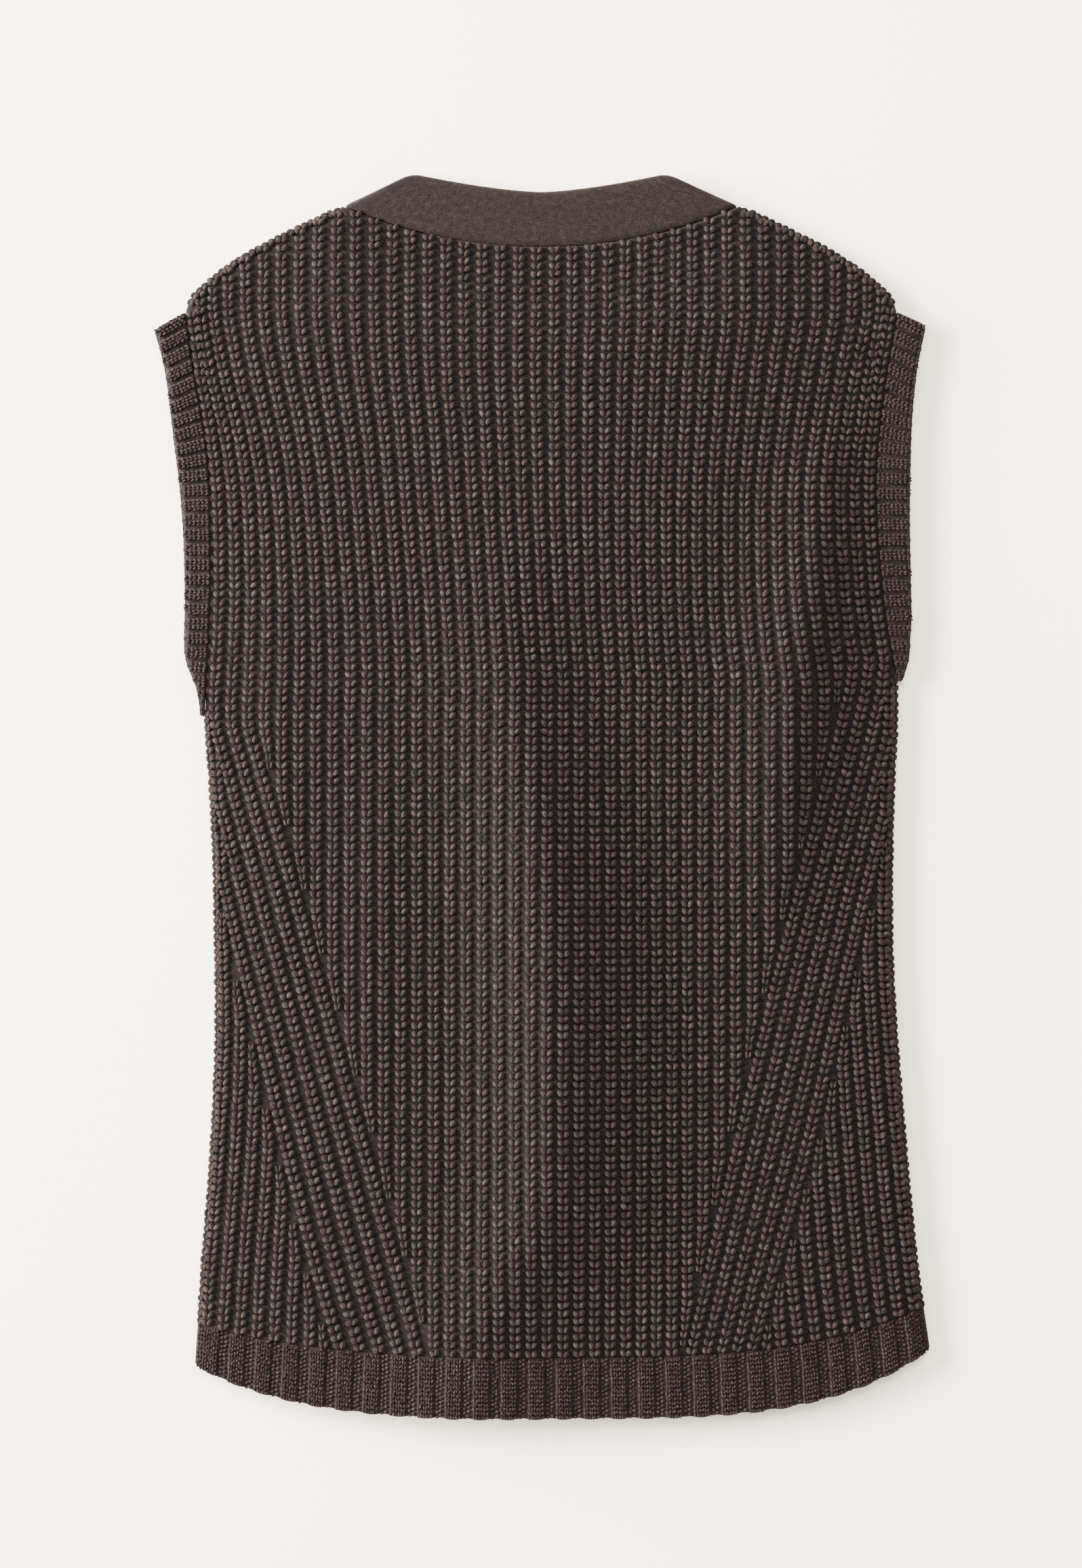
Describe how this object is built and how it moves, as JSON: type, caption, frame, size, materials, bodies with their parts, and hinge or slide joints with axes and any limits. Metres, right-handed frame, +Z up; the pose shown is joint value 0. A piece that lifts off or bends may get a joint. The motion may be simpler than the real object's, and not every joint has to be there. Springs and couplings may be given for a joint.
{
  "type": "sweater vest",
  "caption": "Sleeveless rib-knit pullover vest laid flat on its front, back uppermost, with a smooth neckband, ribbed armhole bands and a ribbed hem.",
  "frame": {"origin": "middle of the vest's outline in plan, on the surface that it lies on", "axes": "+X across the vest towards the picture's right, +Y from the hem to the neck, +Z up from the surface through both layers"},
  "size_m": [0.434, 0.6944, 0.0343],
  "materials": {
    "rib_knit": "marled brown wool, ribbed, matt",
    "band_knit": "marled brown wool, fine rib, matt",
    "neckband_knit": "marled brown wool, smooth and slightly felted, matt"
  },
  "bodies": {
    "root": {"back_panel": "rib_knit", "front_panel": "rib_knit", "back_hem_rib": "band_knit", "front_hem_rib": "band_knit", "left_armhole_band": "band_knit", "right_armhole_band": "band_knit", "neckband": "neckband_knit"}
  },
  "joints": []
}
